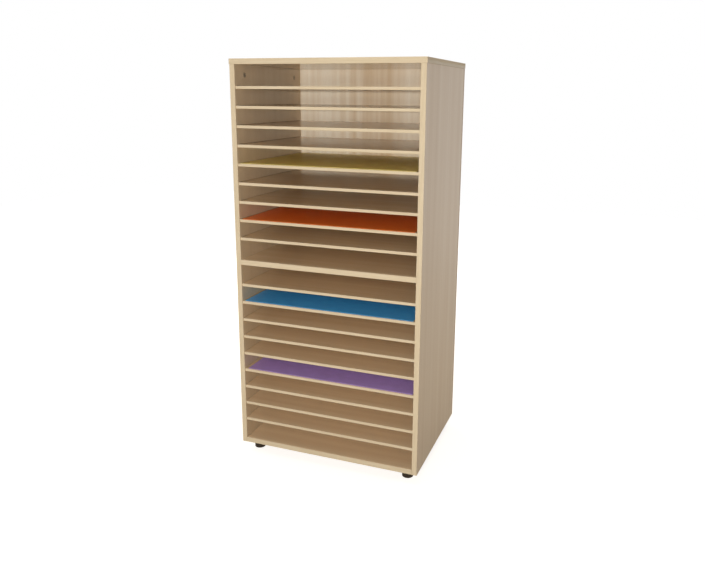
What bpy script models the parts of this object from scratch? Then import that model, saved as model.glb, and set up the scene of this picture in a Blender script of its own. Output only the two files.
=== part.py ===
"""Paper storage cabinet: an open carcass of faced boards with thin shelves for large sheets.

Metres, +Z up. The origin is on the floor under the middle of the cabinet, and the open front
faces -Y. The thin shelves slide from behind into stopped housings in the sides, cam locks pull
the top and the bottom tight, dowels carry the thick middle shelf, and four levelling feet carry
the whole.
"""

import math

import bmesh
import bpy
from mathutils import Matrix, Vector

# Overall sizes
WIDTH = 0.704  # over the sides' outer faces
DEPTH = 0.522  # front edges to the rear face of the back panel
HEIGHT = 1.470  # floor to the upper face of the top

# Boards
BOARD = 0.019  # sides, top, bottom and middle shelf
SHELF = 0.010  # thin shelves
BACK = 0.010  # back panel
TOP_OVERHANG = 0.002  # top past each side
EDGE_RADIUS = 0.001  # rounded edge banding
EDGE_STEPS = 2

# Thin shelves and the stopped housings that hold them
SHELVES_PER_HALF = 9  # above the middle shelf, and below it
END_SLOT_EXTRA = 0.0155  # the slots beside the thick boards are higher by this
SHELF_SETBACK = 0.004  # front edges of the sides to those of the thin shelves
GROOVE_DEPTH = 0.006
GROOVE_STOP = 0.018  # front edges of the sides to the blind ends of the housings
GROOVE_PLAY = 0.001  # above a shelf, so that it slides in: the dark line along the side

# Cam locks and their bolts
CAM_RADIUS = 0.0075
CAM_RIM = 0.001  # rim past the cam's body
CAM_RIM_THICKNESS = 0.0008
CAM_FLOOR = 0.0009  # under the chamber that holds the bolt's head
CAM_DISTANCE = 0.034  # joint to the cam's axis
CAM_INSET = 0.067  # cabinet's front and rear faces to the upper cams
BOTTOM_CAM_INSET = 0.125  # the lower ones stand clear of the feet
RECESS_LENGTH = 0.008  # cross recess for the screwdriver
RECESS_WIDTH = 0.0015
RECESS_DEPTH = 0.0025
BOLT_NECK_RADIUS = 0.002
BOLT_HEAD_LEDGE = 0.001  # ball head past the neck
BOLT_SHANK_RADIUS = 0.0035
BOLT_THREAD_RADIUS = 0.0028
BOLT_CHAMFER = 0.0008
THREAD_COVER = 0.008  # wood left beyond the end of a bolt's hole

# Dowels of the middle shelf
DOWEL_RADIUS = 0.004
DOWEL_LENGTH = 0.030
DOWEL_CHAMFER = 0.001
DOWEL_COVER = 0.008  # wood left in the side beyond a dowel's hole
DOWEL_INSET = 0.090  # front and rear edges of the side to the dowels

# Levelling feet
FOOT_SIDE_INSET = 0.048  # side's outer face to the foot's axis
FOOT_FRONT_INSET = 0.050  # front and rear faces to the foot's axis
PAD_RADIUS = 0.0205
PAD_HEIGHT = 0.020
PAD_ROUND = 0.002
PAD_LIP = 0.004  # lip that holds the spindle's head in the pad
SOCKET_RADIUS = 0.0185
SOCKET_HEIGHT = 0.016  # below the bottom board
SOCKET_CHAMFER = 0.0015
SOCKET_WALL = 0.003  # wall of the boss that is let into the board
SOCKET_COVER = 0.006  # wood left above the boss
SPINDLE_RADIUS = 0.005
SPINDLE_NECK_STEP = 0.0015  # neck is thinner than the spindle by this
SPINDLE_HEAD_LEDGE = 0.004  # head past the neck
SPINDLE_HEAD_HEIGHT = 0.005
COLLAR_LEDGE = 0.002  # flats of the hexagon collar past the spindle
COLLAR_HEIGHT = 0.005

# Card sheets that lie loose on the shelves
CARD = 0.0012
CARD_SIDE_SLACK = 0.016  # both sides together
CARD_FRONT_GAP = 0.005  # shelf's front edge to the sheet
CARD_BACK_GAP = 0.003

FIT = 0.0003  # gap between pieces that touch
PAST = 0.002  # cutters run past a face by this
FOOT_SIDES = 24
CAM_SIDES = 16
SMALL_SIDES = 12
HEXAGON = 6
ARC_STEPS = 3
SHARP_ANGLE = math.radians(35)

# Places that follow from the sizes
FRONT = -DEPTH / 2
REAR = DEPTH / 2
BACK_FACE = REAR - BACK
INNER = WIDTH / 2 - BOARD  # half the clear width
FOOT_HEIGHT = PAD_HEIGHT + SOCKET_HEIGHT
FLOOR = FOOT_HEIGHT + BOARD  # upper face of the bottom
CEILING = HEIGHT - BOARD  # underside of the top
HALF = (CEILING - FLOOR - BOARD) / 2  # clear height above the middle shelf, and below it
SLOT = (HALF - SHELVES_PER_HALF * SHELF - 2 * END_SLOT_EXTRA) / (SHELVES_PER_HALF + 1)
BOLT_HEAD = BOLT_NECK_RADIUS + BOLT_HEAD_LEDGE
CAM_DEPTH = BOARD / 2 + BOLT_HEAD + FIT + CAM_FLOOR
SPINDLE_NECK = SPINDLE_RADIUS - SPINDLE_NECK_STEP
SPINDLE_HEAD = SPINDLE_NECK + SPINDLE_HEAD_LEDGE
SPINDLE_HEAD_TOP = PAD_HEIGHT - PAD_LIP - FIT
COLLAR_LOW = PAD_HEIGHT + FIT
COLLAR_CORNER = (SPINDLE_RADIUS + COLLAR_LEDGE) / math.cos(math.pi / HEXAGON)
BOSS_RADIUS = SPINDLE_RADIUS + FIT + SOCKET_WALL
BOSS_TOP = FLOOR - SOCKET_COVER - FIT

# Each sheet: the shelf it lies on, counted from the top, and the share of its slack on the left
CARD_PLACES = {
    "card_yellow": (5, 0.35),
    "card_orange": (8, 0.35),
    "card_blue": (11, 0.40),
    "card_violet": (15, 0.70),
}

# Colour, roughness and metallic value of each finish
FINISHES = {
    "beech_board": ((0.65, 0.51, 0.34), 0.45, 0.0),
    "thin_shelf": ((0.66, 0.52, 0.35), 0.45, 0.0),
    "back_board": ((0.62, 0.48, 0.32), 0.50, 0.0),
    "cam_zinc": ((0.28, 0.26, 0.24), 0.40, 0.9),
    "bolt_steel": ((0.55, 0.55, 0.56), 0.30, 1.0),
    "dowel_wood": ((0.66, 0.50, 0.32), 0.65, 0.0),
    "foot_plastic": ((0.02, 0.02, 0.02), 0.50, 0.0),
    "card_yellow": ((0.68, 0.52, 0.15), 0.70, 0.0),
    "card_orange": ((0.85, 0.18, 0.04), 0.70, 0.0),
    "card_blue": ((0.05, 0.34, 0.70), 0.70, 0.0),
    "card_violet": ((0.40, 0.28, 0.66), 0.70, 0.0),
}


def clear_scene():
    for obj in list(bpy.data.objects):
        bpy.data.objects.remove(obj, do_unlink=True)


def new_collection(name):
    collection = bpy.data.collections.new(name)
    bpy.context.scene.collection.children.link(collection)
    return collection


def make_finish(name):
    colour, roughness, metallic = FINISHES[name]
    finish = bpy.data.materials.new(name)
    finish.use_nodes = True
    shader = finish.node_tree.nodes["Principled BSDF"]
    shader.inputs["Base Color"].default_value = (*colour, 1.0)
    shader.inputs["Roughness"].default_value = roughness
    shader.inputs["Metallic"].default_value = metallic
    return finish


def mesh_from(bm, name):
    mesh = bpy.data.meshes.new(name)
    bm.to_mesh(mesh)
    bm.free()
    return mesh


def add_part(name, mesh, finish, place, turn=None, parent=None):
    """One named piece of the cabinet, placed and turned from its parent."""
    obj = bpy.data.objects.new(name, mesh)
    if not mesh.materials:
        mesh.materials.append(finishes[finish])
    obj.location = place
    if turn is not None:
        obj.rotation_euler = turn.to_euler()
    obj.parent = parent or cabinet
    parts.objects.link(obj)
    return obj


def add_cutter(name, mesh, place, turn=None):
    obj = bpy.data.objects.new(name, mesh)
    obj.location = place
    if turn is not None:
        obj.rotation_euler = turn.to_euler()
    obj.hide_render = True
    obj.display_type = "WIRE"
    cutters.objects.link(obj)
    return obj


def cut(obj, cutter, operation="DIFFERENCE"):
    modifier = obj.modifiers.new(cutter.name, "BOOLEAN")
    modifier.operation = operation
    modifier.solver = "EXACT"
    modifier.object = cutter


def box_mesh(name, size, rounded=None):
    """A box about its own origin; rounded(edge) picks the edges to bevel."""
    bm = bmesh.new()
    bmesh.ops.create_cube(bm, size=1.0)
    bmesh.ops.scale(bm, vec=size, verts=bm.verts)
    if rounded:
        weight = bm.edges.layers.float.new("bevel_weight_edge")
        for edge in bm.edges:
            edge[weight] = 1.0 if rounded(edge) else 0.0
    return mesh_from(bm, name)


def round_edges(obj):
    bevel = obj.modifiers.new("edge banding", "BEVEL")
    bevel.width = EDGE_RADIUS
    bevel.segments = EDGE_STEPS
    bevel.limit_method = "WEIGHT"


def front_edges_along(axis):
    """Picks the edges of the front face that run along one axis."""

    def picked(edge):
        run = edge.verts[1].co - edge.verts[0].co
        in_front = all(vert.co.y < 0 for vert in edge.verts)
        return in_front and abs(run[axis]) > 0

    return picked


def every_edge(edge):
    return True


def board(name, low, high, finish, rounded=None):
    """A board between two corners."""
    low = Vector(low)
    high = Vector(high)
    obj = add_part(name, box_mesh(name, high - low, rounded), finish, (low + high) / 2)
    if rounded:
        round_edges(obj)
    return obj


def turned_blank(name, profile, sides, closed=False):
    """A blank turned about Z from (radius, height) points, top to bottom on its outer side."""
    bm = bmesh.new()
    points = [bm.verts.new((radius, 0, height)) for radius, height in profile]
    for upper, lower in zip(points, points[1:]):
        bm.edges.new((upper, lower))
    if closed:
        bm.edges.new((points[-1], points[0]))
    blank = add_cutter(name + "_blank", mesh_from(bm, name + "_profile"), (0, 0, 0))
    screw = blank.modifiers.new("turned", "SCREW")
    screw.axis = "Z"
    screw.angle = math.tau
    screw.steps = sides
    screw.render_steps = sides
    screw.use_merge_vertices = True
    screw.merge_threshold = 0.00001
    screw.use_smooth_shade = True
    return blank


def baked(blank, name):
    """The finished mesh of a blank, which is then removed with its cutters."""
    depsgraph = bpy.context.evaluated_depsgraph_get()
    mesh = bpy.data.meshes.new_from_object(blank.evaluated_get(depsgraph))
    mesh.name = name
    used = [step.object for step in blank.modifiers if step.type == "BOOLEAN"]
    for obj in used + [blank]:
        bpy.data.objects.remove(obj, do_unlink=True)
    mesh.shade_smooth()
    mesh.set_sharp_from_angle(angle=SHARP_ANGLE)
    return mesh


def rod_cutter(name, start, direction, length, radius, sides):
    """A straight round hole from a start point along a direction."""
    bm = bmesh.new()
    bmesh.ops.create_cone(
        bm, cap_ends=True, segments=sides, radius1=radius, radius2=radius, depth=length
    )
    direction = Vector(direction)
    middle = Vector(start) + direction * (length / 2)
    turn = direction.to_track_quat("Z", "Y").to_matrix()
    return add_cutter(name, mesh_from(bm, name), middle, turn)


def facing(normal, towards):
    """Turns local +Z to the normal and local +X towards the second direction."""
    z = Vector(normal)
    x = Vector(towards)
    return Matrix((x, z.cross(x), z)).transposed()


def shelf_heights():
    """Undersides of the thin shelves, from the top down."""
    heights = []
    for base in (FLOOR + HALF + BOARD, FLOOR):
        for step in reversed(range(SHELVES_PER_HALF)):
            heights.append(base + SLOT + END_SLOT_EXTRA + step * (SLOT + SHELF))
    return heights


def make_boards():
    """The six boards of the carcass, before they are grooved and drilled."""
    side_top = CEILING - FIT
    side_rear = BACK_FACE - FIT
    between = INNER - FIT
    middle = FLOOR + HALF
    upright = front_edges_along(2)
    across = front_edges_along(0)
    sides = {}
    for name, inner, outer in (("left_side", -INNER, -WIDTH / 2), ("right_side", INNER, WIDTH / 2)):
        low = (min(inner, outer), FRONT, FOOT_HEIGHT)
        high = (max(inner, outer), side_rear, side_top)
        sides[name] = board(name, low, high, "beech_board", upright)
    top_half = WIDTH / 2 + TOP_OVERHANG
    top = board("top_panel", (-top_half, FRONT, CEILING), (top_half, REAR, HEIGHT), "beech_board", every_edge)
    bottom = board(
        "bottom_panel", (-between, FRONT, FOOT_HEIGHT), (between, side_rear, FLOOR), "beech_board", across
    )
    shelf = board(
        "middle_shelf", (-between, FRONT, middle), (between, side_rear, middle + BOARD), "beech_board", across
    )
    board("back_panel", (-WIDTH / 2, BACK_FACE, FOOT_HEIGHT), (WIDTH / 2, REAR, side_top), "back_board")
    return sides["left_side"], sides["right_side"], top, bottom, shelf


def make_shelves(left, right):
    """Thin shelves, notched at the front corners, and the housings in the sides that they slide into."""
    front = FRONT + SHELF_SETBACK
    rear = BACK_FACE - FIT
    reach = INNER + GROOVE_DEPTH
    groove_front = FRONT + GROOVE_STOP
    run = REAR - groove_front
    heights = shelf_heights()

    groove_height = FIT + SHELF + GROOVE_PLAY
    grooves = bmesh.new()
    for height in heights:
        place = Matrix.Translation((0, groove_front + run / 2, height - FIT + groove_height / 2))
        size = Matrix.Diagonal((2 * reach, run, groove_height, 1))
        bmesh.ops.create_cube(grooves, size=1.0, matrix=place @ size)
    housing = add_cutter("shelf_housings", mesh_from(grooves, "shelf_housings"), (0, 0, 0))
    for side in (left, right):
        cut(side, housing)

    notch_end = groove_front + FIT
    notch_size = (GROOVE_DEPTH + PAST, notch_end - FRONT, HEIGHT)
    notches = []
    for hand in (-1, 1):
        place = (hand * (INNER - FIT + notch_size[0] / 2), (FRONT + notch_end) / 2, HEIGHT / 2)
        notches.append(add_cutter("shelf_notch", box_mesh("shelf_notch", notch_size), place))

    across = front_edges_along(0)
    for number, height in enumerate(heights, start=1):
        low = (FIT - reach, front, height)
        high = (reach - FIT, rear, height + SHELF)
        shelf = board(f"shelf_{number:02d}", low, high, "thin_shelf", across)
        for notch in notches:
            cut(shelf, notch)


def cam_mesh():
    """A cam lock about its face: rim, cross recess, and the slot that hooks the bolt's head.

    The face is at local z = 0 on the board, and the locked bolt leaves towards local +X.
    """
    face = FIT + CAM_RIM_THICKNESS
    rim = CAM_RADIUS + CAM_RIM
    profile = [
        (0, face),
        (rim, face),
        (rim, FIT),
        (CAM_RADIUS, FIT),
        (CAM_RADIUS, -CAM_DEPTH),
        (0, -CAM_DEPTH),
    ]
    blank = turned_blank("cam", profile, CAM_SIDES)

    for size in ((RECESS_LENGTH, RECESS_WIDTH), (RECESS_WIDTH, RECESS_LENGTH)):
        recess = box_mesh("cam_recess", (*size, 2 * RECESS_DEPTH))
        cut(blank, add_cutter("cam_recess", recess, (0, 0, face)))

    # The head enters along -Y, and its neck swings a quarter turn in the slot to lock along +X
    axis = -BOARD / 2
    head = BOLT_HEAD + FIT
    neck = BOLT_NECK_RADIUS + FIT
    reach = CAM_RADIUS + PAST
    cut(blank, rod_cutter("cam_entry", (0, head, axis), (0, -1, 0), head + reach, head, SMALL_SIDES))
    cut(blank, rod_cutter("cam_chamber", (-head, 0, axis), (1, 0, 0), 2 * head, head, SMALL_SIDES))
    slot = box_mesh("cam_slot", (reach + neck, reach + neck, 2 * neck))
    middle = (reach - neck) / 2
    cut(blank, add_cutter("cam_slot", slot, (middle, -middle, axis)))
    return baked(blank, "cam")


def bolt_mesh():
    """A connecting bolt about the joint: threaded end along +Z, ball head at the cam's axis."""
    end = BOARD - THREAD_COVER - FIT
    neck_top = CAM_RADIUS + PAST - CAM_DISTANCE
    profile = [
        (0, end),
        (BOLT_THREAD_RADIUS - BOLT_CHAMFER, end),
        (BOLT_THREAD_RADIUS, end - BOLT_CHAMFER),
        (BOLT_THREAD_RADIUS, -FIT),
        (BOLT_SHANK_RADIUS, -FIT),
        (BOLT_SHANK_RADIUS, neck_top),
        (BOLT_NECK_RADIUS, neck_top),
    ]
    first = math.asin(BOLT_NECK_RADIUS / BOLT_HEAD)
    for step in range(ARC_STEPS):
        angle = first + (math.pi - first) * step / ARC_STEPS
        profile.append((BOLT_HEAD * math.sin(angle), BOLT_HEAD * math.cos(angle) - CAM_DISTANCE))
    profile.append((0, -CAM_DISTANCE - BOLT_HEAD))
    return baked(turned_blank("bolt", profile, SMALL_SIDES), "bolt")


def add_connector(name, cam_face, normal, towards, cam_board, mate, meshes):
    """A cam lock and its bolt, with their holes in the board of the cam and in its mate."""
    normal = Vector(normal)
    towards = Vector(towards)
    cam_face = Vector(cam_face)
    bolt_axis = cam_face - normal * (BOARD / 2)
    joint = bolt_axis + towards * CAM_DISTANCE
    cam_bore = (cam_face + normal * PAST, -normal, CAM_DEPTH + FIT + PAST, CAM_RADIUS + FIT, CAM_SIDES)
    bolt_bore = (bolt_axis, towards, CAM_DISTANCE + PAST, BOLT_SHANK_RADIUS + FIT, SMALL_SIDES)
    thread_length = BOARD - THREAD_COVER + PAST
    thread_bore = (joint - towards * PAST, towards, thread_length, BOLT_THREAD_RADIUS + FIT, SMALL_SIDES)
    cut(cam_board, rod_cutter(name + "_cam_bore", *cam_bore))
    cut(cam_board, rod_cutter(name + "_bolt_bore", *bolt_bore))
    cut(mate, rod_cutter(name + "_thread_bore", *thread_bore))
    cam, bolt = meshes
    add_part(name + "_cam", cam, "cam_zinc", cam_face, facing(normal, towards))
    add_part(name + "_bolt", bolt, "bolt_steel", joint, facing(towards, normal))


def make_connectors(left, right, top, bottom):
    meshes = (cam_mesh(), bolt_mesh())
    corners = [(end, hand) for end in ("front", "rear") for hand in ("left", "right")]
    for end, hand in corners:
        outward = -1 if hand == "left" else 1
        side = left if hand == "left" else right
        upper = FRONT + CAM_INSET if end == "front" else REAR - CAM_INSET
        lower = FRONT + BOTTOM_CAM_INSET if end == "front" else REAR - BOTTOM_CAM_INSET
        add_connector(
            f"top_{end}_{hand}",
            (outward * INNER, upper, CEILING - CAM_DISTANCE),
            (-outward, 0, 0),
            (0, 0, 1),
            side,
            top,
            meshes,
        )
        add_connector(
            f"bottom_{end}_{hand}",
            (outward * (INNER - CAM_DISTANCE), lower, FOOT_HEIGHT),
            (0, 0, -1),
            (outward, 0, 0),
            bottom,
            side,
            meshes,
        )


def make_dowels(left, right, shelf):
    """Dowels that carry the middle shelf, let into the sides and into its ends."""
    in_side = BOARD - DOWEL_COVER
    in_shelf = DOWEL_LENGTH - in_side
    tip = DOWEL_RADIUS - DOWEL_CHAMFER
    half = DOWEL_LENGTH / 2 - FIT
    profile = [
        (0, half),
        (tip, half),
        (DOWEL_RADIUS, half - DOWEL_CHAMFER),
        (DOWEL_RADIUS, DOWEL_CHAMFER - half),
        (tip, -half),
        (0, -half),
    ]
    mesh = baked(turned_blank("dowel", profile, SMALL_SIDES), "dowel")
    height = FLOOR + HALF + BOARD / 2
    for hand, side in ((-1, left), (1, right)):
        for end, depth in (("front", FRONT + DOWEL_INSET), ("rear", BACK_FACE - DOWEL_INSET)):
            name = f"dowel_{end}_{'left' if hand < 0 else 'right'}"
            start = Vector((hand * (INNER - in_shelf), depth, height))
            hole = rod_cutter(
                name + "_hole", start, (hand, 0, 0), DOWEL_LENGTH, DOWEL_RADIUS + FIT, SMALL_SIDES
            )
            cut(side, hole)
            cut(shelf, hole)
            middle = start + Vector((hand * DOWEL_LENGTH / 2, 0, 0))
            add_part(name, mesh, "dowel_wood", middle, facing((hand, 0, 0), (0, 0, 1)))


def pad_mesh():
    """The foot's pad, on the floor: a round moulding with a lipped cup for the spindle's head."""
    profile = [(0, PAD_HEIGHT)]
    for centre, first in ((PAD_HEIGHT - PAD_ROUND, math.pi / 2), (PAD_ROUND, 0)):
        for step in range(ARC_STEPS + 1):
            angle = first - math.pi / 2 * step / ARC_STEPS
            radius = PAD_RADIUS - PAD_ROUND + PAD_ROUND * math.cos(angle)
            profile.append((radius, centre + PAD_ROUND * math.sin(angle)))
    profile.append((0, 0))
    pad = turned_blank("pad", profile, FOOT_SIDES)

    neck = SPINDLE_NECK + FIT
    cup = SPINDLE_HEAD + FIT
    lip = PAD_HEIGHT - PAD_LIP
    floor = SPINDLE_HEAD_TOP - SPINDLE_HEAD_HEIGHT - FIT
    mouth = PAD_HEIGHT + PAST
    hollow = [(0, mouth), (neck, mouth), (neck, lip), (cup, lip), (cup, floor), (0, floor)]
    cut(pad, turned_blank("pad_cup", hollow, SMALL_SIDES))
    return baked(pad, "pad")


def spindle_mesh():
    """The foot's spindle: threaded rod, hexagon collar for the spanner, and the head held in the pad."""
    in_collar = COLLAR_LOW + COLLAR_HEIGHT / 2
    head_low = SPINDLE_HEAD_TOP - SPINDLE_HEAD_HEIGHT
    profile = [
        (0, BOSS_TOP),
        (SPINDLE_RADIUS, BOSS_TOP),
        (SPINDLE_RADIUS, in_collar),
        (SPINDLE_NECK, in_collar),
        (SPINDLE_NECK, SPINDLE_HEAD_TOP),
        (SPINDLE_HEAD, SPINDLE_HEAD_TOP),
        (SPINDLE_HEAD, head_low),
        (0, head_low),
    ]
    spindle = turned_blank("spindle", profile, SMALL_SIDES)
    collar = rod_cutter("collar", (0, 0, COLLAR_LOW), (0, 0, 1), COLLAR_HEIGHT, COLLAR_CORNER, HEXAGON)
    cut(spindle, collar, "UNION")
    return baked(spindle, "spindle")


def socket_mesh():
    """The foot's socket: a threaded bush under the bottom, its boss let into the board."""
    bore = SPINDLE_RADIUS + FIT
    recess = COLLAR_CORNER + FIT
    recess_top = COLLAR_LOW + COLLAR_HEIGHT + FIT
    upper = FOOT_HEIGHT - FIT
    lower = PAD_HEIGHT + FIT
    profile = [
        (bore, BOSS_TOP),
        (BOSS_RADIUS, BOSS_TOP),
        (BOSS_RADIUS, upper),
        (SOCKET_RADIUS, upper),
        (SOCKET_RADIUS, lower + SOCKET_CHAMFER),
        (SOCKET_RADIUS - SOCKET_CHAMFER, lower),
        (recess, lower),
        (recess, recess_top),
        (bore, recess_top),
    ]
    return baked(turned_blank("socket", profile, FOOT_SIDES, closed=True), "socket")


def make_feet(bottom):
    """Four levelling feet, screwed right in, each about an empty on its axis."""
    pad = pad_mesh()
    spindle = spindle_mesh()
    socket = socket_mesh()
    hole_length = BOARD - SOCKET_COVER + PAST
    for end, depth in (("front", FRONT + FOOT_FRONT_INSET), ("rear", REAR - FOOT_FRONT_INSET)):
        for hand, outward in (("left", -1), ("right", 1)):
            corner = f"{end}_{hand}"
            axis = bpy.data.objects.new("foot_axis_" + corner, None)
            axis.location = (outward * (WIDTH / 2 - FOOT_SIDE_INSET), depth, 0)
            axis.parent = cabinet
            parts.objects.link(axis)
            start = axis.location + Vector((0, 0, FOOT_HEIGHT - PAST))
            hole = rod_cutter(
                "socket_hole_" + corner, start, (0, 0, 1), hole_length, BOSS_RADIUS + FIT, FOOT_SIDES
            )
            cut(bottom, hole)
            add_part("foot_pad_" + corner, pad, "foot_plastic", (0, 0, 0), parent=axis)
            add_part("foot_spindle_" + corner, spindle, "bolt_steel", (0, 0, 0), parent=axis)
            add_part("foot_socket_" + corner, socket, "foot_plastic", (0, 0, 0), parent=axis)


def make_cards():
    """Loose sheets of card, each lying on its shelf."""
    width = 2 * INNER - CARD_SIDE_SLACK
    front = FRONT + SHELF_SETBACK + CARD_FRONT_GAP
    rear = BACK_FACE - CARD_BACK_GAP
    heights = shelf_heights()
    for name, (number, share) in CARD_PLACES.items():
        left = -INNER + CARD_SIDE_SLACK * share
        under = heights[(number - 1) % len(heights)] + SHELF + FIT
        board(name, (left, front, under), (left + width, rear, under + CARD), name)


clear_scene()
parts = new_collection("paper_storage_cabinet")
cutters = new_collection("cutters")
finishes = {name: make_finish(name) for name in FINISHES}
cabinet = bpy.data.objects.new("cabinet", None)
parts.objects.link(cabinet)

left_side, right_side, top_panel, bottom_panel, middle_shelf = make_boards()
make_shelves(left_side, right_side)
make_connectors(left_side, right_side, top_panel, bottom_panel)
make_dowels(left_side, right_side, middle_shelf)
make_feet(bottom_panel)
make_cards()
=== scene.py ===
import math

import bmesh
import bpy
import numpy as np
from mathutils import Matrix, Vector


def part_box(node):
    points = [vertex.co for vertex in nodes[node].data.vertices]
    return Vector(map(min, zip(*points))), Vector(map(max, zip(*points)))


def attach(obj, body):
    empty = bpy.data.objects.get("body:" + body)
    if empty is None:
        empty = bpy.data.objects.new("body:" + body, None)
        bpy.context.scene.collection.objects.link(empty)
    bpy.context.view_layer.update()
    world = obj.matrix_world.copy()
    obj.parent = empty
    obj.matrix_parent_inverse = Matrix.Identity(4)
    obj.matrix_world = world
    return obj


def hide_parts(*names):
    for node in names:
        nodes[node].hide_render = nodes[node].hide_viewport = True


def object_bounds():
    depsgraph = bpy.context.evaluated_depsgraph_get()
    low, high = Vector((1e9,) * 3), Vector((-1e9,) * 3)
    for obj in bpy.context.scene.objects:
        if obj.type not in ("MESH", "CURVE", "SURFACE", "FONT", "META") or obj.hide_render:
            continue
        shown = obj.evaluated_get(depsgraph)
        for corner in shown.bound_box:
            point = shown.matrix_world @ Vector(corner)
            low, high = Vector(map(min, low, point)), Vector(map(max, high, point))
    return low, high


# Paper storage cabinet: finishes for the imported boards, turned fittings, screws and loose card.
# Metres, +Z up, open front towards -Y.
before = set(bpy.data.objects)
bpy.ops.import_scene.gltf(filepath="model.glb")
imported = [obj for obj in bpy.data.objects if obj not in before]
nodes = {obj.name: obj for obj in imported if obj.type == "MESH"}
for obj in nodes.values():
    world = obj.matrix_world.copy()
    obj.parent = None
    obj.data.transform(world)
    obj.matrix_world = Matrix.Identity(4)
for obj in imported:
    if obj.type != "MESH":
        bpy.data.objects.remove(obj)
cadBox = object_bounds()
scene = bpy.context.scene

midSpan = (0.3, 0.7)  # most of a noise lies within this
reliefStrength = 0.5
sameWithin = 1e-6  # points this close are one
cornerSteps = 6  # points on each corner of a profile


# One shader node: settings are its own properties, feeds are values or links for its inputs
def addNode(tree, kind, feeds=None, **settings):
    node = tree.nodes.new("ShaderNode" + kind)
    for key, value in settings.items():
        setattr(node, key, value)
    for key, value in (feeds or {}).items():
        socket = node.inputs[key]
        if isinstance(value, bpy.types.NodeSocket):
            tree.links.new(value, socket)
        elif socket.type == "RGBA":
            socket.default_value = (*value, 1.0)
        else:
            socket.default_value = value
    return node


def worked(tree, operation, first, second=0.0, third=0.0):
    return addNode(tree, "Math", {0: first, 1: second, 2: third}, operation=operation).outputs[0]


# In the dictionaries a noise is given as its count per metre, its detail and, if not 0.5, its roughness
def noise(tree, place, perMetre, detail, rough=0.5):
    feeds = {"Vector": place, "Scale": perMetre, "Detail": detail, "Roughness": rough}
    return addNode(tree, "TexNoise", feeds).outputs["Fac"]


# Stretches a value from one span to another and holds it there
def spread(tree, value, low, high, first=0.0, last=1.0):
    feeds = {"Value": value, "From Min": low, "From Max": high, "To Min": first, "To Max": last}
    return addNode(tree, "MapRange", feeds).outputs["Result"]


def blendTone(tree, share, first, second):
    return addNode(tree, "Mix", {0: share, 6: first, 7: second}, data_type="RGBA").outputs[2]


def objectPlace(tree):
    return addNode(tree, "TexCoord").outputs["Object"]


def startFinish(name, metal=0.0):
    finish = bpy.data.materials.new(name)
    finish.use_nodes = True
    shader = finish.node_tree.nodes["Principled BSDF"]
    shader.inputs["Metallic"].default_value = metal
    return finish, finish.node_tree, shader


# Tone, roughness and fine relief go to the shader
def endFinish(tree, shader, tone, rough, height, relief):
    tree.links.new(tone, shader.inputs["Base Color"])
    tree.links.new(rough, shader.inputs["Roughness"])
    bump = addNode(tree, "Bump", {"Height": height, "Strength": reliefStrength, "Distance": relief})
    tree.links.new(bump.outputs["Normal"], shader.inputs["Normal"])


# Faced board, pale beech
facing = {
    "fleckTone": (0.500, 0.345, 0.200),
    "bandPale": (0.685, 0.574, 0.408),
    "bandHoney": (0.623, 0.507, 0.340),
    "glueTone": (0.400, 0.290, 0.180),
    "coreLight": (0.600, 0.455, 0.300),
    "coreDark": (0.360, 0.245, 0.140),
    "clouds": (7.0, 1.0),
    "streaks": (30.0, 2.5, 0.52),
    "fibres": (600.0, 2.0),
    "shares": (0.5, 1.0, 0.12),  # of clouds, streaks and fibres in the grain
    "grainMiddle": 0.81,  # their usual sum, and how far it swings
    "grainSwing": 0.40,
    "drawnOut": 32.0,  # streaks are this many times longer than wide
    "sway": 0.010,  # slow wander of the streaks
    "flecks": 520.0,
    "fleckDrawnOut": 7.0,
    "fleckEdge": (0.16, 0.34),  # from the heart of a cell, full and none
    "fleckPick": (0.55, 0.75),  # which cells have one
    "fleckDepth": 0.24,
    "coreChips": 620.0,
    "coreRough": 0.6,  # over the gloss
    "band": 0.0009,  # thickness of the edge banding
    "bandStreaks": (260.0, 2.0),
    "bandGloss": 0.42,
    "glue": 0.0002,
    "glueDepth": 0.6,
    "skin": 0.0003,  # a bare edge or an inner face reaches this far into its board
    "relief": 0.000012,
}
wander = {"across": 6.0, "along": 1.6, "detail": 1.0}  # waves per metre of the streaks' sway
# The planks the boards were cut from: two tones, how strongly they differ, and the gloss.
# A darker strip down the middle of a board is given as (axis, middle, half width, depth). The reverse
# gives the two tones of the back panel's rear face, the board's own tones; the back's pale and honey,
# far paler, are painted light on its slot face. The upper gloss is for the top's upper face. The inner
# tones are painted shade, darker copies of the side's tones; they and the inner gloss are for the faces
# of the sides that look into the slots.
planks = {
    "sideFacing": {
        "pale": (0.820, 0.682, 0.510),
        "honey": (0.680, 0.530, 0.382),
        "contrast": 0.65,
        "gloss": (0.32, 0.42),
        # painted shade: darker copies of the pale and honey tones, for the faces that look into the
        # slots
        "inner": ((0.722, 0.587, 0.403), (0.598, 0.456, 0.302)),
        "innerGloss": 0.20,
    },
    "topFacing": {
        "pale": (0.820, 0.670, 0.470),
        "honey": (0.700, 0.540, 0.360),
        "contrast": 0.8,
        "gloss": (0.08, 0.12),
        "upperGloss": 0.40,
    },
    "shelfFacing": {
        "pale": (0.850, 0.672, 0.446),
        "honey": (0.720, 0.528, 0.327),
        "contrast": 1.0,
        "gloss": (0.150, 0.160),
    },
    "backFacing": {
        # painted light: the slot face's tones, far paler than the board's own tones given as the reverse
        "pale": (0.940, 0.882, 0.752),
        "honey": (0.635, 0.470, 0.285),
        "reverse": ((0.800, 0.655, 0.475), (0.660, 0.500, 0.340)),
        "contrast": 1.0,
        "gloss": (0.13, 0.20),
        "darkMiddle": ("X", 0.005, 0.160, 0.40),
    },
}


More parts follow.
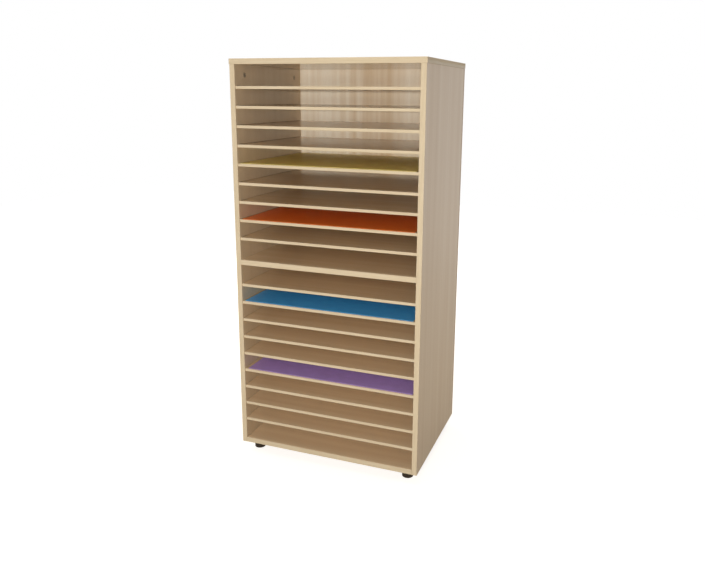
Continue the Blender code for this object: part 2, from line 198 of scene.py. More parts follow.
# Object coordinates squeezed along the grain, so that spots draw out into streaks;
# a slow noise moves them sideways, so that no streak is quite straight
def grainPlace(tree, grain, drawnOut, sway):
    axis = "xyz".index(grain)
    squeeze = [1.0, 1.0, 1.0]
    squeeze[axis] = 1.0 / drawnOut
    slow = [wander["across"]] * 3
    slow[axis] = wander["along"]
    place = objectPlace(tree)
    slowPlace = addNode(tree, "Mapping", {"Vector": place, "Scale": slow}).outputs["Vector"]
    feeds = {"Vector": slowPlace, "Scale": 1.0, "Detail": wander["detail"]}
    drift = addNode(tree, "TexNoise", feeds).outputs["Color"]
    feeds = {0: drift, 1: (0.5, 0.5, 0.5)}
    centred = addNode(tree, "VectorMath", feeds, operation="SUBTRACT").outputs[0]
    moved = addNode(tree, "VectorMath", {0: centred, "Scale": sway}, operation="SCALE").outputs[0]
    swayed = addNode(tree, "VectorMath", {0: place, 1: moved}, operation="ADD").outputs[0]
    return addNode(tree, "Mapping", {"Vector": swayed, "Scale": squeeze}).outputs["Vector"]


# Grained facing. Each band is (axis, side, place): past that place the board shows its edge banding,
# with a hairline of glue behind it. The core is (axis, middle, half thickness): what is cut into the
# board there shows chips. Each bare edge, given in the way of a band, shows them too.
def boardFinish(name, kind, grain, bands=(), bareEdges=(), core=None):
    look = facing
    plank = planks[kind]
    finish, tree, shader = startFinish(name)
    along = grainPlace(tree, grain, look["drawnOut"], look["sway"])
    clouds = noise(tree, along, *look["clouds"])
    streaks = noise(tree, along, *look["streaks"])
    fibres = noise(tree, along, *look["fibres"])
    axes = addNode(tree, "SeparateXYZ", {"Vector": objectPlace(tree)}).outputs
    cloudShare, streakShare, fibreShare = look["shares"]
    mixed = worked(tree, "MULTIPLY", clouds, cloudShare)
    mixed = worked(tree, "MULTIPLY_ADD", streaks, streakShare, mixed)
    mixed = worked(tree, "MULTIPLY_ADD", fibres, fibreShare, mixed)
    swing = look["grainSwing"] / plank["contrast"]
    share = spread(tree, mixed, look["grainMiddle"] - swing, look["grainMiddle"] + swing)
    # a darker strip down the middle of the board, falling off as a bell curve to each side
    if "darkMiddle" in plank:
        axis, middle, width, depth = plank["darkMiddle"]
        off = worked(tree, "DIVIDE", worked(tree, "SUBTRACT", axes["XYZ".index(axis)], middle), width)
        fall = worked(tree, "MULTIPLY", worked(tree, "MULTIPLY", off, off), -1.0)
        bell = worked(tree, "POWER", math.e, fall)
        share = worked(tree, "ADD", share, spread(tree, bell, 0.0, 1.0, -depth, depth))
        share = spread(tree, share, 0.0, 1.0)
    tone = blendTone(tree, share, plank["pale"], plank["honey"])
    # past the middle of the board the rear face takes the board's own tones; the slot face keeps the
    # paler painted-light tones
    if "reverse" in plank:
        rearTone = blendTone(tree, share, *plank["reverse"])
        low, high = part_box("back_panel")
        atRear = worked(tree, "GREATER_THAN", axes["Y"], (low.y + high.y) / 2)
        tone = blendTone(tree, atRear, tone, rearTone)
    # painted shade: the faces of the sides that look into the slots take darker copies of the side's
    # tones
    if "inner" in plank:
        slotShadeTone = blendTone(tree, share, *plank["inner"])
        low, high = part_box("right_side")
        inSlots = worked(tree, "LESS_THAN", worked(tree, "ABSOLUTE", axes["X"]), low.x + look["skin"])
        tone = blendTone(tree, inSlots, tone, slotShadeTone)

    # short dark ray flecks: the hearts of some cells of a stretched cell pattern
    fleckPlace = grainPlace(tree, grain, look["fleckDrawnOut"], 0.0)
    cells = addNode(tree, "TexVoronoi", {"Vector": fleckPlace, "Scale": look["flecks"]})
    spot = spread(tree, cells.outputs["Distance"], *look["fleckEdge"], 1.0, 0.0)
    picked = addNode(tree, "SeparateColor", {"Color": cells.outputs["Color"]}).outputs["Red"]
    picked = spread(tree, picked, *look["fleckPick"])
    fleck = worked(tree, "MULTIPLY", spot, picked)
    fleckShare = worked(tree, "MULTIPLY", fleck, look["fleckDepth"])
    tone = blendTone(tree, fleckShare, tone, look["fleckTone"])

    # upper and inner faces, core, banding and bare edges take over past their places
    rough = spread(tree, streaks, *midSpan, *plank["gloss"])
    if "upperGloss" in plank:
        low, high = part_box("top_panel")
        onTop = worked(tree, "GREATER_THAN", axes["Z"], (low.z + high.z) / 2)
        rough = worked(tree, "MULTIPLY_ADD", onTop, plank["upperGloss"] - plank["gloss"][1], rough)
    if "inner" in plank:
        rough = worked(tree, "MULTIPLY_ADD", inSlots, plank["innerGloss"] - plank["gloss"][1], rough)
    chips = addNode(tree, "TexVoronoi", {"Vector": objectPlace(tree), "Scale": look["coreChips"]})
    chip = addNode(tree, "SeparateColor", {"Color": chips.outputs["Color"]}).outputs["Red"]
    coreTone = blendTone(tree, chip, look["coreLight"], look["coreDark"])
    if core:
        axis, middle, half = core
        depth = worked(tree, "ABSOLUTE", axes["XYZ".index(axis)])
        tone = blendTone(tree, worked(tree, "COMPARE", depth, middle, half), tone, coreTone)
    for axis, side, place in bands:
        bandGrain = "x" if axis == "Y" and grain == "x" else "z" if axis == "Y" else "y"
        bandPlace = grainPlace(tree, bandGrain, look["drawnOut"], 0.0)
        bandShare = spread(tree, noise(tree, bandPlace, *look["bandStreaks"]), *midSpan)
        bandTone = blendTone(tree, bandShare, look["bandPale"], look["bandHoney"])
        reach = worked(tree, "MULTIPLY", axes["XYZ".index(axis)], side)
        inBand = worked(tree, "GREATER_THAN", reach, place)
        onGlue = worked(tree, "COMPARE", reach, place - look["glue"] / 2, look["glue"] / 2)
        glueShare = worked(tree, "MULTIPLY", onGlue, look["glueDepth"])
        tone = blendTone(tree, inBand, tone, bandTone)
        tone = blendTone(tree, glueShare, tone, look["glueTone"])
        rough = worked(tree, "MULTIPLY_ADD", inBand, look["bandGloss"] - plank["gloss"][1], rough)
    for axis, side, place in bareEdges:
        reach = worked(tree, "MULTIPLY", axes["XYZ".index(axis)], side)
        bare = worked(tree, "GREATER_THAN", reach, place)
        tone = blendTone(tree, bare, tone, coreTone)
        rough = worked(tree, "MULTIPLY_ADD", bare, look["coreRough"], rough)

    height = worked(tree, "SUBTRACT", fibres, fleck)
    endFinish(tree, shader, tone, rough, height, look["relief"])
    return finish


# One edge of a node's box, moved in by an inset, in the way of a band
def edgeOf(name, axis, side, inset):
    low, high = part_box(name)
    corner = high if side > 0 else low
    return (axis, side, side * corner["XYZ".index(axis)] - inset)


def dress(names, finish):
    for name in names:
        for slot in nodes[name].material_slots:
            slot.material = finish


band = facing["band"]
skin = facing["skin"]
shelfNames = sorted(name for name in nodes if name.startswith("shelf_"))
topBands = [
    edgeOf("top_panel", "Y", -1, band),
    edgeOf("top_panel", "Y", 1, band),
    edgeOf("top_panel", "X", -1, band),
    edgeOf("top_panel", "X", 1, band),
]
backEdges = [
    edgeOf("back_panel", "X", -1, skin),
    edgeOf("back_panel", "X", 1, skin),
    edgeOf("back_panel", "Z", -1, skin),
]
sideBands = [edgeOf("left_side", "Y", -1, band)]
sideBare = [edgeOf("left_side", "Z", -1, skin)]
sideLow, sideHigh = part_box("right_side")
sideCore = ("X", (sideLow.x + sideHigh.x) / 2, (sideHigh.x - sideLow.x) / 2 - skin)
sideBoard = boardFinish("sideBoard", "sideFacing", "z", sideBands, sideBare, sideCore)
dress(["left_side", "right_side"], sideBoard)
dress(["top_panel"], boardFinish("topBoard", "topFacing", "x", topBands))
for names, title in (
    (["bottom_panel"], "bottomBoard"),
    (["middle_shelf"], "middleBoard"),
    (shelfNames, "thinShelf"),
):
    frontBand = edgeOf(names[0], "Y", -1, band)
    dress(names, boardFinish(title, "shelfFacing", "x", [frontBand]))
dress(["back_panel"], boardFinish("backBoard", "backFacing", "z", (), backEdges))
print("boards: 6 boards and %d thin shelves faced" % len(shelfNames))


# Black moulded plastic: grained by the mould
plastic = {
    "deep": (0.022, 0.016, 0.011),
    "worn": (0.052, 0.037, 0.025),
    "mottle": (160.0, 3.0, 0.6),
    "mottleSpan": (0.35, 0.7),
    "mouldGrain": (2600.0, 1.0),
    "gloss": (0.36, 0.52),
    "relief": 0.00005,
}


def plasticFinish():
    finish, tree, shader = startFinish("footPlastic")
    place = objectPlace(tree)
    mottle = noise(tree, place, *plastic["mottle"])
    grain = noise(tree, place, *plastic["mouldGrain"])
    wornShare = spread(tree, mottle, *plastic["mottleSpan"])
    tone = blendTone(tree, wornShare, plastic["deep"], plastic["worn"])
    rough = spread(tree, mottle, *midSpan, *plastic["gloss"])
    endFinish(tree, shader, tone, rough, grain, plastic["relief"])
    return finish


# Metals: a cast or plated skin with slow tarnish and a fine grain
metals = {
    # partly painted shade: zinc for the cam locks, toned darker and browner than bare zinc to stand in
    # for the shade of the slot walls
    "shadedCamZinc": {
        "bright": (0.480, 0.412, 0.322),
        "dull": (0.350, 0.292, 0.218),
        "tarnish": (420.0, 3.0, 0.6),
        "grain": (2200.0, 1.0),
        "gloss": (0.50, 0.68),
        "metal": 0.5,
        "relief": 0.00004,
    },
    "platedSteel": {
        "bright": (0.600, 0.600, 0.600),
        "dull": (0.440, 0.430, 0.410),
        "tarnish": (300.0, 3.0, 0.6),
        "grain": (2600.0, 1.0),
        "gloss": (0.22, 0.40),
        "metal": 1.0,
        "relief": 0.00002,
    },
}
tarnishSpan = (0.35, 0.65)


def metalFinish(name):
    look = metals[name]
    finish, tree, shader = startFinish(name, look["metal"])
    place = objectPlace(tree)
    tarnish = noise(tree, place, *look["tarnish"])
    grain = noise(tree, place, *look["grain"])
    tone = blendTone(tree, spread(tree, tarnish, *tarnishSpan), look["bright"], look["dull"])
    rough = spread(tree, tarnish, *midSpan, *look["gloss"])
    endFinish(tree, shader, tone, rough, grain, look["relief"])
    return finish


# Bare beech of the dowels and the packing strips
dowelWood = {
    "pale": (0.680, 0.510, 0.320),
    "dark": (0.520, 0.360, 0.210),
    "rings": (900.0, 3.0, 0.6),
    "ringSpan": (0.35, 0.7),
    "drawnOut": 25.0,
    "sway": 0.001,
    "gloss": (0.55, 0.75),
    "relief": 0.0001,
}


def dowelFinish():
    finish, tree, shader = startFinish("dowelBeech")
    along = grainPlace(tree, "x", dowelWood["drawnOut"], dowelWood["sway"])
    rings = noise(tree, along, *dowelWood["rings"])
    darkShare = spread(tree, rings, *dowelWood["ringSpan"])
    tone = blendTone(tree, darkShare, dowelWood["pale"], dowelWood["dark"])
    rough = spread(tree, rings, *midSpan, *dowelWood["gloss"])
    endFinish(tree, shader, tone, rough, rings, dowelWood["relief"])
    return finish


# Matt coloured card: two tones of its dye, cloudy and speckled with fibres
cardLook = {
    "cloud": (28.0, 3.0, 0.55),
    "fibre": (1100.0, 2.0, 0.6),
    "swing": 0.09,  # light and deep tone from the dye
    "lightest": 0.95,
    "toneSpan": (0.36, 0.64),
    "gloss": (0.32, 0.44),
    "relief": 0.00003,
    "dyes": {
        "card_yellow": (0.985, 0.770, 0.250),
        "card_orange": (0.960, 0.230, 0.034),
        "card_blue": (0.088, 0.446, 0.970),
        "card_violet": (0.512, 0.350, 0.790),
    },
}


def cardFinish(name):
    finish, tree, shader = startFinish(name.replace("card_", "cardDye."))
    place = objectPlace(tree)
    cloud = noise(tree, place, *cardLook["cloud"])
    fibre = noise(tree, place, *cardLook["fibre"])
    mean = worked(tree, "MULTIPLY_ADD", fibre, 0.5, worked(tree, "MULTIPLY", cloud, 0.5))
    dye = np.array(cardLook["dyes"][name])
    light = tuple(np.minimum(dye * (1 + cardLook["swing"]), cardLook["lightest"]))
    deep = tuple(dye * (1 - cardLook["swing"]))
    tone = blendTone(tree, spread(tree, mean, *cardLook["toneSpan"]), light, deep)
    rough = spread(tree, fibre, *midSpan, *cardLook["gloss"])
    endFinish(tree, shader, tone, rough, fibre, cardLook["relief"])
    return finish


footPlastic = plasticFinish()
shadedCamZinc = metalFinish("shadedCamZinc")
platedSteel = metalFinish("platedSteel")
dress([name for name in nodes if name.endswith("_bolt")], platedSteel)
dowelBeech = dowelFinish()
dress([name for name in nodes if name.startswith("dowel_")], dowelBeech)
print("finishes: plastic, zinc, steel, beech dowels")


# One piece from a grid of points [copy, row, column, xyz]. Columns close up all round, rows too
# where the profile is a loop, and points that coincide, as at a pole, are welded.
def makePiece(name, points, finish, body, loop=False, crease=35.0):
    points = points.reshape((-1,) + points.shape[-3:])
    number = np.arange(points[..., 0].size).reshape(points.shape[:3])
    if loop:
        number = np.concatenate((number, number[:, :1]), axis=1)
    near, far = number[:, :-1], number[:, 1:]
    quads = np.stack((near, far, np.roll(far, -1, 2), np.roll(near, -1, 2)), axis=-1)
    mesh = bpy.data.meshes.new(name)
    mesh.from_pydata(points.reshape(-1, 3).tolist(), [], quads.reshape(-1, 4).tolist())
    weld = bmesh.new()
    weld.from_mesh(mesh)
    bmesh.ops.remove_doubles(weld, verts=weld.verts, dist=sameWithin)
    bmesh.ops.recalc_face_normals(weld, faces=weld.faces)
    weld.to_mesh(mesh)
    weld.free()
    mesh.shade_smooth()
    mesh.set_sharp_from_angle(angle=math.radians(crease))
    mesh.materials.append(finish)
    piece = bpy.data.objects.new(name, mesh)
    scene.collection.objects.link(piece)
    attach(piece, body)
    return piece


# Profile through corners (radius, height, rounding): each corner gives way to a short curve that
# leaves one side and joins the other at the rounding's distance from the corner
def softProfile(corners):
    corners = np.array(corners, float)
    corner, rounding = corners[:, None, :2], corners[:, None, 2:]
    before = np.roll(corner, 1, 0) - corner
    after = np.roll(corner, -1, 0) - corner
    before /= np.linalg.norm(before, axis=2, keepdims=True)
    after /= np.linalg.norm(after, axis=2, keepdims=True)
    t = np.linspace(0, 1, cornerSteps)[None, :, None]
    start, end = corner + before * rounding, corner + after * rounding
    return ((1 - t) ** 2 * start + 2 * t * (1 - t) * corner + t**2 * end).reshape(-1, 2)


# Turns radius [row, column] and height [row, 1] about an upright axis through a place
def turned(radius, height, columns, place=(0.0, 0.0, 0.0)):
    angle = np.linspace(0, 2 * np.pi, columns, endpoint=False)
    points = np.stack((radius * np.cos(angle), radius * np.sin(angle), height + 0 * angle), axis=-1)
    return points + np.array(place)


# Eases from 0 to 1
def smooth(t):
    t = np.clip(t, 0, 1)
    return t * t * (3 - 2 * t)


# Levelling feet: pad on the floor, ribbed socket under the board, threaded spindle between them
foot = {
    "columns": 96,
    "padRound": 0.0022,
    "neckRound": 0.0004,
    "neckRadius": 0.0038,
    "cupRadius": 0.0078,
    "lip": 0.0040,
    "cupFloor": 0.0104,
    "socketRound": 0.0016,
    "boss": (0.0083, 0.0053, 0.0357),  # outer radius, bore and the height where it meets the flange
    "recess": (0.0084, 0.0256),  # radius and top of the room for the collar
    "recessRound": 0.0003,
    "flangeRound": 0.0006,
    "wallRing": 0.004,  # rows of the outer wall this far from its edges
    "ribs": 24,
    "ribDepth": 0.0005,
    "ribEnd": 0.001,  # from an edge to where the ribs begin, and the run in which they rise
    "ribRise": 0.002,
    "pitch": 0.0015,
    "threadRows": 100,
    "threadDepth": 0.0008,
    "grooveSlope": 1.25,
    "rod": 0.0050,
    "collar": (0.0070, 0.0203, 0.0253),  # across the flats from the axis, lower and upper face
    "collarChamfer": 0.0007,
    "head": (0.0075, 0.0107, 0.0157),  # radius, lower and upper face
    "stem": 0.0035,
}


def footMiddle(name):
    low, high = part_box(name)
    return (low.x + high.x) / 2, (low.y + high.y) / 2


def makePad(corner):
    node = "foot_pad_" + corner
    low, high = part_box(node)
    radius = (high.x - low.x) / 2
    top = high.z
    profile = softProfile(
        [
            (0, foot["cupFloor"], 0),
            (foot["cupRadius"], foot["cupFloor"], 0),
            (foot["cupRadius"], top - foot["lip"], 0),
            (foot["neckRadius"], top - foot["lip"], 0),
            (foot["neckRadius"], top, foot["neckRound"]),
            (radius, top, foot["padRound"]),
            (radius, low.z, foot["padRound"]),
            (0, low.z, 0),
        ]
    )
    points = turned(profile[:, :1], profile[:, 1:], foot["columns"], (*footMiddle(node), 0))
    pad = makePiece("footPad." + corner, points, footPlastic, "pad_" + corner)
    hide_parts(node)


# Socket: the profile's loop turned about the axis, its outer wall waved by ribs that fade at both edges
def makeSocket(corner):
    node = "foot_socket_" + corner
    low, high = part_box(node)
    radius = (high.x - low.x) / 2
    bossRadius, bore, flangeTop = foot["boss"]
    recessRadius, recessTop = foot["recess"]
    profile = softProfile(
        [
            (bore, high.z, 0),
            (bossRadius, high.z, 0),
            (bossRadius, flangeTop, 0),
            (radius, flangeTop, foot["flangeRound"]),
            (radius, flangeTop - foot["wallRing"], 0),
            (radius, (flangeTop + low.z) / 2, 0),
            (radius, low.z + foot["wallRing"], 0),
            (radius, low.z, foot["socketRound"]),
            (recessRadius, low.z, foot["recessRound"]),
            (recessRadius, recessTop, 0),
            (bore, recessTop, 0),
        ]
    )
    columns = foot["columns"] * 2
    angle = np.linspace(0, 2 * np.pi, columns, endpoint=False)
    height = profile[:, 1:]
    onWall = profile[:, :1] > radius - sameWithin
    fromLow = smooth((height - low.z - foot["ribEnd"]) / foot["ribRise"])
    fromTop = smooth((flangeTop - foot["ribEnd"] - height) / foot["ribRise"])
    wave = 0.5 - 0.5 * np.cos(foot["ribs"] * angle)
    ribbed = profile[:, :1] - foot["ribDepth"] * onWall * fromLow * fromTop * wave
    points = turned(ribbed, height, columns, (*footMiddle(node), 0))
    socket = makePiece("footSocket." + corner, points, footPlastic, "carcass", loop=True)
    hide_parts(node)


# Spindle: radius against height and angle. The rod's radius follows a screw line, the collar's is a
# hexagon, flat radius over the cosine of the angle from the middle of a flat, cut by a cone at both
# faces.
def makeSpindle(corner):
    node = "foot_spindle_" + corner
    low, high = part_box(node)
    columns = foot["columns"]
    angle = np.linspace(0, 2 * np.pi, columns, endpoint=False)
    flat, collarLow, collarTop = foot["collar"]
    headRadius, headLow, headTop = foot["head"]

    pitch = foot["pitch"]
    threadHeight = np.linspace(high.z, collarTop, foot["threadRows"])[:, None]
    turn = (threadHeight / pitch - angle / (2 * np.pi)) % 1.0
    runOut = smooth((high.z - threadHeight) / pitch) * smooth((threadHeight - collarTop) / pitch)
    groove = 1 - np.clip(np.abs(2 * turn - 1) * foot["grooveSlope"], 0, 1)
    thread = foot["rod"] - foot["threadDepth"] * (groove * runOut + (1 - runOut) * 0.5)

    sixth = np.pi / 3
    hexagon = flat / np.cos((angle % sixth) - sixth / 2)
    chamfer = foot["collarChamfer"]
    collarHeight = np.array([collarTop, collarTop - chamfer, collarLow + chamfer, collarLow])[:, None]
    cone = np.array([flat, flat / np.cos(sixth / 2), flat / np.cos(sixth / 2), flat])[:, None]
    collar = np.minimum(hexagon, cone)

    tailHeight = np.array([collarLow, headTop, headTop, headLow, headLow])[:, None]
    tail = np.array([foot["stem"], foot["stem"], headRadius, headRadius, 0.0])[:, None] + 0 * angle
    radius = np.vstack((0 * angle[None], thread, collar, tail))
    height = np.vstack((threadHeight[:1], threadHeight, collarHeight, tailHeight))
    points = turned(radius, height, columns, (*footMiddle(node), 0))
    spindle = makePiece("footSpindle." + corner, points, platedSteel, "spindle_" + corner)
    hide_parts(node)


corners = [end + "_" + hand for end in ("front", "rear") for hand in ("left", "right")]
for corner in corners:
    makePad(corner)
    makeSocket(corner)
    makeSpindle(corner)
print("feet: %d pads, sockets and spindles turned" % len(corners))


# Depth of a cross recess at x, y: the nearer of two bars, its wall eased over a soft width
def crossRecess(x, y, reach, width, depth, soft):
    first = np.maximum(np.abs(x) - reach, np.abs(y) - width)
    second = np.maximum(np.abs(x) - width, np.abs(y) - reach)
    return depth * smooth((soft - np.minimum(first, second)) / (2 * soft))


# Turns local points so that local z looks along the normal and local x towards the second direction
def facingTo(points, place, normal, towards):
    axes = np.array([towards, np.cross(normal, towards), normal], float)
    return points @ axes + np.array(place)


# Cam locks: a turned profile whose face is sunk by a cross recess and an arrow that points to the bolt
cam = {
    "columns": 144,
    "faceRows": 40,
    "bodyRadius": 0.0075,
    "rim": 0.0010,
    "rimThickness": 0.0008,
    "rimRound": 0.00035,
    "crossReach": 0.0040,
    "crossWidth": 0.00075,
    "crossDepth": 0.0024,
    "soft": 0.00014,
    "arrow": (0.0050, 0.0070, 0.0011),  # from, to and half width
    "arrowDepth": 0.00035,
    "depth": 0.0140,
}


def makeCam(name, place, normal, towards):
    rimRadius = cam["bodyRadius"] + cam["rim"]
    thick = cam["rimThickness"]
    faceRadius = np.linspace(0, rimRadius - cam["rimRound"], cam["faceRows"])[:, None]
    rest = softProfile(
        [
            (rimRadius - 2 * cam["rimRound"], 0, 0),
            (rimRadius, 0, cam["rimRound"]),
            (rimRadius, -thick, 0),
            (cam["bodyRadius"], -thick, 0),
            (cam["bodyRadius"], -cam["depth"], 0),
            (0, -cam["depth"], 0),
        ]
    )[cornerSteps:]
    angle = np.linspace(0, 2 * np.pi, cam["columns"], endpoint=False)
    x, y = faceRadius * np.cos(angle), faceRadius * np.sin(angle)
    sink = crossRecess(x, y, cam["crossReach"], cam["crossWidth"], cam["crossDepth"], cam["soft"])
    tail, tip, half = cam["arrow"]
    inArrow = np.minimum(x - tail, half * (tip - x) / (tip - tail) - np.abs(y))
    sink += cam["arrowDepth"] * smooth(inArrow / cam["soft"] + 0.5)
    height = np.vstack((-sink, rest[:, 1:] + 0 * angle))
    radius = np.vstack((faceRadius + 0 * angle, rest[:, :1] + 0 * angle))
    points = facingTo(turned(radius, height, cam["columns"]), place, normal, towards)
    piece = makePiece("camLock." + name, points, shadedCamZinc, "carcass")
    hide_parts(name + "_cam")


for corner in corners:
    outward = -1 if corner.endswith("left") else 1
    low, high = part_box("top_" + corner + "_cam")
    face = high.x if outward < 0 else low.x
    place = (face, (low.y + high.y) / 2, (low.z + high.z) / 2)
    makeCam("top_" + corner, place, (-outward, 0, 0), (0, 0, 1))
    low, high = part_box("bottom_" + corner + "_cam")
    place = ((low.x + high.x) / 2, (low.y + high.y) / 2, low.z)
    makeCam("bottom_" + corner, place, (0, 0, -1), (outward, 0, 0))
print("cams: %d locks turned" % (2 * len(corners)))


# Screws that hold the back panel: low domed heads, the dome falling off with the square of the radius
screws = {
    "columns": 40,
    "rows": 18,
    "radius": 0.0038,
    "crown": 0.0011,
    "edge": 0.0003,
    "crossReach": 0.0019,
    "crossWidth": 0.0004,
    "crossDepth": 0.0009,
    "soft": 0.00012,
    "perSide": 7,
    "endInset": 0.050,
    "across": 3,
}


def makeScrews():
    backLow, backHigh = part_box("back_panel")
    sideLow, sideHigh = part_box("right_side")
    shelfLow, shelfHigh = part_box("middle_shelf")
    baseLow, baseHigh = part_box("bottom_panel")
    sideX = (sideLow.x + sideHigh.x) / 2
    inset = screws["endInset"]
    sideZ = np.linspace(backLow.z + inset, backHigh.z - inset, screws["perSide"])
    acrossX = np.linspace(-sideX, sideX, screws["across"] + 2)[1:-1]
    places = [(hand * sideX, z) for hand in (-1, 1) for z in sideZ]
    for low, high in ((shelfLow, shelfHigh), (baseLow, baseHigh)):
        places += [(x, (low.z + high.z) / 2) for x in acrossX]

    angle = np.linspace(0, 2 * np.pi, screws["columns"], endpoint=False)
    rim, edge = screws["radius"], screws["edge"]
    radius = np.append(np.linspace(0, rim, screws["rows"]), [rim, 0])[:, None]
    x, y = radius * np.cos(angle), radius * np.sin(angle)
    dome = edge + (screws["crown"] - edge) * (1 - (radius / rim) ** 2)
    sink = crossRecess(
        x, y, screws["crossReach"], screws["crossWidth"], screws["crossDepth"], screws["soft"]
    )
    height = dome - sink
    height[-2:] = -edge
    head = turned(radius + 0 * angle, height, screws["columns"])
    heads = [facingTo(head, (x, backHigh.y, z), (0, 1, 0), (0, 0, 1)) for x, z in places]
    piece = makePiece("backScrews", np.array(heads), platedSteel, "carcass")
    return len(places)


# Thin packing strips in the hairline under the top: a flat oval carried along the edge of each board
# that bears it, its ends drawn in to points
packing = {"slack": 0.00001, "columns": 16, "taper": 0.0006, "inset": 0.0008}


def makePacking(node, axis):
    low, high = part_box(node)
    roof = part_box("top_panel")[0].z
    across = 1 - axis
    angle = np.linspace(0, 2 * np.pi, packing["columns"], endpoint=False)
    swell = np.array([0.0, 1.0, 1.0, 0.0])[:, None]
    first, last = low[axis] + packing["inset"], high[axis] - packing["inset"]
    run = np.array([first, first + packing["taper"], last - packing["taper"], last])[:, None]
    half = (roof - high.z) / 2 - packing["slack"]
    reach = (high[across] - low[across]) / 2 - packing["inset"]
    points = np.empty((len(run), packing["columns"], 3))
    points[..., axis] = run
    points[..., across] = (low[across] + high[across]) / 2 + reach * swell * np.cos(angle)
    points[..., 2] = (roof + high.z) / 2 + half * swell * np.sin(angle)
    makePiece("packing." + node, points, dowelBeech, "carcass")


for node, axis in (("back_panel", 0), ("left_side", 1), ("right_side", 1)):
    makePacking(node, axis)
print("back: %d screws, 3 packing strips" % makeScrews())


# Loose card: a few thin sheets lying together, each a little out of line with the next
pile = {
    "sheets": 3,
    "thick": 0.00032,
    "outOfLine": 0.0012,
    "wave": 0.00010,
    "ripples": ((9, 0), (0, 11), (4, -7)),  # radians per metre across and along
    "rows": 26,
    "columns": 34,
    "crease": 50.0,
    "firstSeed": 3,
}


# A sheet: across its width a flat loop, over and under, carried from front to rear; the first and last
# loops are pressed flat, which closes the ends. Slow waves lift each sheet off the one below.
def makeCards(node, seed):
    chance = np.random.default_rng(seed)
    low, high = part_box(node)
    shape = (pile["rows"], pile["columns"])
    spare = pile["outOfLine"]
    layers = []
    floor = np.full(shape, low.z)
    for sheet in range(pile["sheets"]):
        shiftX, shiftY = chance.uniform(0, spare, 2)
        x = np.linspace(low.x + shiftX, high.x - spare + shiftX, shape[1])[None, :]
        y = np.linspace(low.y + shiftY, high.y - spare + shiftY, shape[0])[:, None]
        phase = chance.uniform(0, 2 * np.pi, 3)
        first, second, third = (
            np.sin(across * x + along * y + start)
            for (across, along), start in zip(pile["ripples"], phase)
        )
        ripple = first * second + third
        under = floor + pile["wave"] * (1 + ripple / 2)
        over = under + pile["thick"]
        around = np.concatenate((over, under[:, ::-1]), axis=1)
        flat = np.concatenate(((over + under) / 2, (over + under)[:, ::-1] / 2), axis=1)
        height = np.vstack((flat[:1], around, flat[-1:]))
        acrossX = np.concatenate((x, x[:, ::-1]), axis=1) + 0 * height
        alongY = np.vstack((y[:1], y, y[-1:])) + 0 * height
        layers.append(np.stack((acrossX, alongY, height), axis=-1))
        floor = over
    name, body = node.replace("card_", "cardSheets."), node.replace("card_", "sheet_")
    piece = makePiece(name, np.array(layers), cardFinish(node), body, crease=pile["crease"])
    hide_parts(node)


for seed, node in enumerate(cardLook["dyes"], pile["firstSeed"]):
    makeCards(node, seed)
print("card: %d piles of %d sheets" % (len(cardLook["dyes"]), pile["sheets"]))


# Room: white where the camera and the gloss see it, dimmer as a source of light
room = {
    "ambient": 0.20,
    "skyGloss": 0.72,  # share of the white backdrop in reflections
    "floorTone": (0.53, 0.47, 0.37),
    "floorLift": (0.81, 1.0),  # the camera sees the floor as white: beside the cabinet, and farther off
    "floorNear": (0.6, 2.5),  # metres from the middle for these two
    "floorGloss": (0.06, 0.62),  # share of that in reflections, beside the cabinet and far off
    "floorFar": (0.5, 4.5),
    "floorSpan": 12.0,
    "floorDrop": 0.0002,  # under the soles
}
# Only the lamps beside the cabinet show in gloss. The others would mirror as bare strips, and the
# pale room stands in for them there.
lamps = {
    "frontLamp": {
        "place": (0.76, -4.26, 1.405), "aim": (0.0, 0.0, 0.70), "span": (1.0, 0.12),
        "watts": 94.0, "tint": (1.0, 0.975, 0.94), "inGloss": False,
    },
    "middleLamp": {
        "place": (0.76, -4.26, 1.08), "aim": (0.0, 0.0, 0.70), "span": (1.0, 0.25),
        "watts": 20.0, "tint": (1.0, 0.975, 0.94), "inGloss": False,
    },
    "highLamp": {
        "place": (0.50, -3.00, 1.75), "aim": (0.0, -0.2, 0.80), "span": (0.8, 0.3),
        "watts": 8.0, "tint": (1.0, 0.975, 0.94), "inGloss": False,
    },
    "topLamp": {
        "place": (0.0, -0.30, 3.40), "aim": (0.0, -0.31, 0.0), "span": (1.4, 0.8),
        "watts": 22.0, "tint": (1.0, 0.99, 0.97), "inGloss": False,
    },
    "leftLamp": {
        "place": (-3.00, 0.20, 0.90), "aim": (-0.35, 0.0, 0.80), "span": (0.9, 0.9),
        "watts": 10.0, "tint": (1.0, 0.985, 0.96), "inGloss": True,
    },
    "rightLamp": {
        "place": (2.40, 0.90, 0.95), "aim": (0.35, 0.0, 0.60), "span": (0.8, 0.8),
        "watts": 9.4, "tint": (1.0, 0.93, 0.90), "inGloss": True,
    },
    "rearLamp": {
        "place": (-2.20, 2.60, 2.00), "aim": (0.0, 0.0, 0.80), "span": (1.8, 1.8),
        "watts": 54.0, "tint": (1.0, 0.99, 0.97), "inGloss": False,
    },
}
# Camera: turned left and dipped from a level look along +Y, then tilted, in radians; lens and film in mm
view = {
    "place": (0.9566, -2.3799, 1.3571),
    "turnLeft": 0.3535,
    "dip": 0.2270,
    "tilt": 0.0084,
    "lens": 35.076,
    "film": 36.0,
    "shift": (-0.0270, -0.0423),
}


# 1 for the rays that show the room itself, to the camera or through glass, and a share of that in gloss
def seenRays(tree, inGloss=1.0):
    path = addNode(tree, "LightPath").outputs
    gloss = worked(tree, "MULTIPLY", path["Is Glossy Ray"], inGloss)
    direct = worked(tree, "MAXIMUM", path["Is Camera Ray"], gloss)
    return worked(tree, "MAXIMUM", direct, path["Is Transmission Ray"])


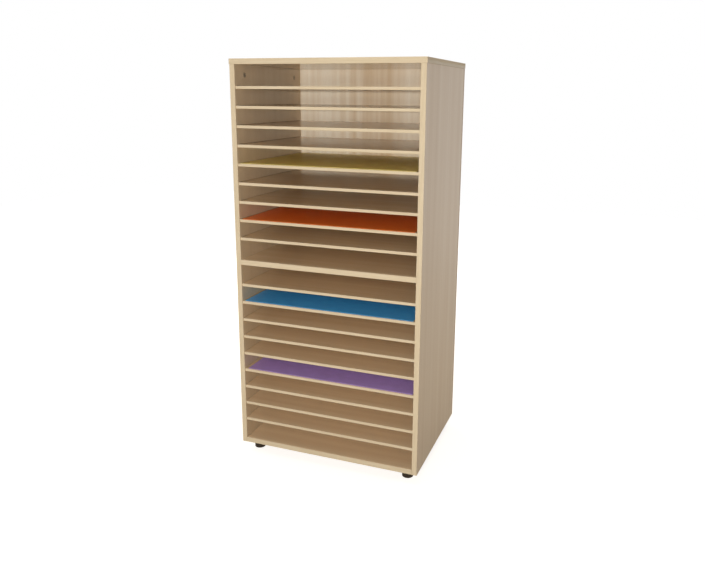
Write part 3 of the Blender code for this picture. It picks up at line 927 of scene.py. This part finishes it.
def makeRoom():
    world = bpy.data.worlds.new("paleRoom")
    world.use_nodes = True
    scene.world = world
    tree = world.node_tree
    tree.nodes.clear()
    dim = addNode(tree, "Background", {"Color": (1, 1, 1), "Strength": room["ambient"]})
    white = addNode(tree, "Background", {"Color": (1, 1, 1), "Strength": 1.0})
    seen = seenRays(tree, room["skyGloss"])
    choice = addNode(tree, "MixShader", {0: seen, 1: dim.outputs[0], 2: white.outputs[0]})
    addNode(tree, "OutputWorld", {"Surface": choice.outputs[0]})

    span = room["floorSpan"] / 2
    mesh = bpy.data.meshes.new("floor")
    level = cadBox[0][2] - room["floorDrop"]
    square = np.array([(-1, -1, 0), (1, -1, 0), (1, 1, 0), (-1, 1, 0)]) * span + (0, 0, level)
    mesh.from_pydata(square.tolist(), [], [(0, 1, 2, 3)])
    finish = bpy.data.materials.new("paleFloor")
    finish.use_nodes = True
    tree = finish.node_tree
    tree.nodes.clear()
    diffuse = addNode(tree, "BsdfDiffuse", {"Color": room["floorTone"]})
    away = addNode(tree, "VectorMath", {0: objectPlace(tree)}, operation="LENGTH").outputs["Value"]
    inGloss = spread(tree, away, *room["floorFar"], *room["floorGloss"])
    brightness = spread(tree, away, *room["floorNear"], *room["floorLift"])
    lift = worked(tree, "MULTIPLY", seenRays(tree, inGloss), brightness)
    glow = addNode(tree, "Emission", {"Color": (1, 1, 1), "Strength": lift})
    both = addNode(tree, "AddShader", {0: diffuse.outputs[0], 1: glow.outputs[0]})
    addNode(tree, "OutputMaterial", {"Surface": both.outputs[0]})
    mesh.materials.append(finish)
    floor = bpy.data.objects.new("floor", mesh)
    scene.collection.objects.link(floor)


def makeLamps():
    for name, look in lamps.items():
        light = bpy.data.lights.new(name, "AREA")
        light.shape = "RECTANGLE"
        light.size, light.size_y = look["span"]
        light.energy = look["watts"]
        light.color = look["tint"]
        lamp = bpy.data.objects.new(name, light)
        place = Vector(look["place"])
        lamp.location = place
        lamp.rotation_euler = (Vector(look["aim"]) - place).to_track_quat("-Z", "Y").to_euler()
        lamp.visible_glossy = look["inGloss"]
        scene.collection.objects.link(lamp)


def makeCamera():
    lens = bpy.data.cameras.new("view")
    lens.sensor_fit = "HORIZONTAL"
    lens.sensor_width = view["film"]
    lens.lens = view["lens"]
    lens.shift_x, lens.shift_y = view["shift"]
    camera = bpy.data.objects.new("view", lens)
    heading = Matrix.Rotation(view["turnLeft"], 4, "Z")
    dip = Matrix.Rotation(math.pi / 2 - view["dip"], 4, "X")
    tilt = Matrix.Rotation(view["tilt"], 4, "Z")
    camera.matrix_world = Matrix.Translation(view["place"]) @ heading @ dip @ tilt
    scene.collection.objects.link(camera)
    scene.camera = camera


makeRoom()
makeLamps()
makeCamera()
scene.view_settings.view_transform = "Standard"
print("room: floor, %d lamps and camera" % len(lamps))
